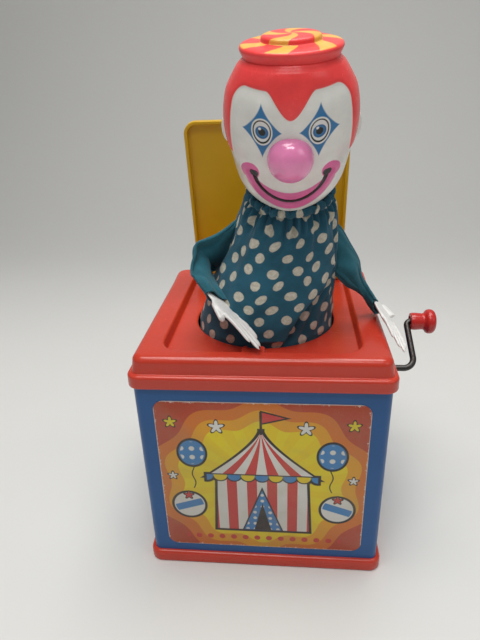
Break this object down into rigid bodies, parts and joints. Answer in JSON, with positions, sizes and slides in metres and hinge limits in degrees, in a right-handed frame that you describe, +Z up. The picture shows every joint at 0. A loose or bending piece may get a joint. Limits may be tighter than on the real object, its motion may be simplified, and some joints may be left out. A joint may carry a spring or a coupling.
{
  "type": "jack in the box",
  "caption": "Square toy box with a side crank, a hinged lid and a cloth clown on a spring that pops up through a round hole.",
  "frame": {"origin": "middle of the flat underside of the base", "axes": "+Z up, -Y to the front with the label, +X to the side with the crank"},
  "size_m": [0.1822, 0.14, 0.289],
  "materials": {
    "red_plastic": "glossy moulded red-orange plastic",
    "blue_plastic": "satin moulded blue plastic",
    "yellow_plastic": "glossy moulded yellow plastic",
    "ivory_plastic": "plain moulded plastic",
    "label": "printed sheet with a satin varnish",
    "steel": "bright steel",
    "dark_steel": "dark oxidised steel wire",
    "suit_cloth": "woven cotton, teal, printed with cream dots on the body",
    "face_vinyl": "painted soft vinyl",
    "coral_vinyl": "painted soft vinyl",
    "pink_vinyl": "glossy painted vinyl"
  },
  "bodies": {
    "box": {"base_tray": "red_plastic", "base_screws": "steel", "box_shell": "blue_plastic", "front_label": "label", "top_frame": "red_plastic", "hinge_pin": "steel", "spring_seat": "steel", "hem_ring": "ivory_plastic", "pop_spring": "steel", "clown_suit": "suit_cloth", "music_plate": "ivory_plastic", "music_screws": "steel", "crank_bush": "ivory_plastic", "drum_axle": "steel", "tone_comb": "steel", "comb_screws": "steel", "latch_bracket": "steel", "latch_spring": "dark_steel"},
    "lid": {"lid": "yellow_plastic", "lid_catch": "steel"},
    "clown": {"clown_head": "face_vinyl", "clown_hat": "coral_vinyl", "clown_nose": "pink_vinyl", "head_plug": "ivory_plastic", "neck_tie": "suit_cloth"},
    "left_arm": {"left_sleeve": "suit_cloth", "left_hand": "face_vinyl"},
    "right_arm": {"right_sleeve": "suit_cloth", "right_hand": "face_vinyl"},
    "crank": {"crank_rod": "dark_steel", "crank_pinion": "ivory_plastic", "crank_collar": "steel"},
    "knob": {"crank_knob": "red_plastic"},
    "tune_drum": {"tune_wheel": "ivory_plastic", "trip_pin": "steel"},
    "latch": {"latch_lever": "steel", "latch_shaft": "steel", "trip_arm": "steel"}
  },
  "joints": [
    {"name": "pop_up", "type": "slide", "parent": "box", "child": "clown", "axis": [0.0767, -0.193, 0.9782], "range_m": [-0.194, 0], "stiffness_N_per_m": 14, "springref_m": 0.12, "deforming": ["pop_spring", "clown_suit", "left_sleeve", "left_hand", "right_sleeve", "right_hand"]},
    {"name": "lid_hinge", "type": "hinge", "parent": "box", "child": "lid", "pos_m": [0, 0.061, 0.1394], "axis": [-1, 0, 0], "range_deg": [-81, 0]},
    {"name": "left_shoulder", "type": "hinge", "parent": "clown", "child": "left_arm", "pos_m": [-0.02, -0.016, 0.196], "axis": [-0.7071, 0.7071, 0], "range_deg": [0, 50]},
    {"name": "right_shoulder", "type": "hinge", "parent": "clown", "child": "right_arm", "pos_m": [0.042, -0.015, 0.198], "axis": [0, -1, 0], "range_deg": [0, 50]},
    {"name": "crank_spin", "type": "hinge", "parent": "box", "child": "crank", "pos_m": [0, 0, 0.1], "axis": [1, 0, 0], "continuous": true},
    {"name": "knob_spin", "type": "hinge", "parent": "crank", "child": "knob", "pos_m": [0.1, 0.02445, 0.12126], "axis": [1, 0, 0], "continuous": true},
    {"name": "drum_spin", "type": "hinge", "parent": "box", "child": "tune_drum", "pos_m": [0.05, -0.0144, 0.0808], "axis": [1, 0, 0], "continuous": true},
    {"name": "latch_release", "type": "hinge", "parent": "box", "child": "latch", "pos_m": [0, -0.0575, 0.118], "axis": [1, 0, 0], "range_deg": [0, 7], "stiffness_Nm_per_rad": 0.4, "springref_deg": -8.59}
  ],
  "couplings": [
    {"joint": "lid_hinge", "follows": "pop_up", "rad_per_m": 7.2872},
    {"joint": "drum_spin", "follows": "crank_spin", "ratio": -0.33333}
  ]
}
